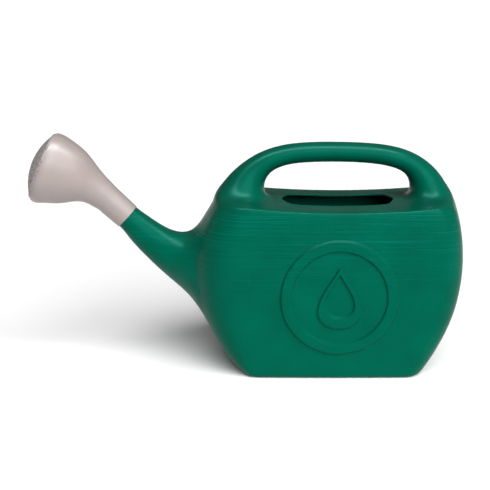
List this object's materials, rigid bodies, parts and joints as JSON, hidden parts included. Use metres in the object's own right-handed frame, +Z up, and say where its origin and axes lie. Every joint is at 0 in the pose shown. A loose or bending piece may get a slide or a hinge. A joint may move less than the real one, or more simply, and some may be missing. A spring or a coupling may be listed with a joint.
{
  "type": "watering can",
  "caption": "Green moulded plastic watering can with a built-in loop handle, a long rising spout and a pull-off sprinkler rose.",
  "frame": {"origin": "on the ground, under the middle of the whole object's box", "axes": "+Z up, +X towards the rear of the can, so the spout points along -X; the can is symmetrical about Y = 0"},
  "size_m": [0.5297, 0.1592, 0.2898],
  "materials": {
    "green_plastic": "satin moulded, faintly striated",
    "grey_plastic": "satin moulded",
    "grey_plastic_face": "fine grained, perforated",
    "black_rubber": "matte"
  },
  "bodies": {
    "can": {"can_body": "green_plastic"},
    "seal": {"seal_washer": "black_rubber"},
    "rose": {"rose_shell": "grey_plastic", "rose_face": "grey_plastic_face"}
  },
  "joints": [
    {"name": "rose_pull", "type": "slide", "parent": "can", "child": "seal", "axis": [-0.7373, 0, 0.6756], "range_m": [0, 0.06]},
    {"name": "rose_turn", "type": "hinge", "parent": "seal", "child": "rose", "pos_m": [-0.1455, 0, 0.18622], "axis": [-0.7373, 0, 0.6756], "continuous": true}
  ]
}
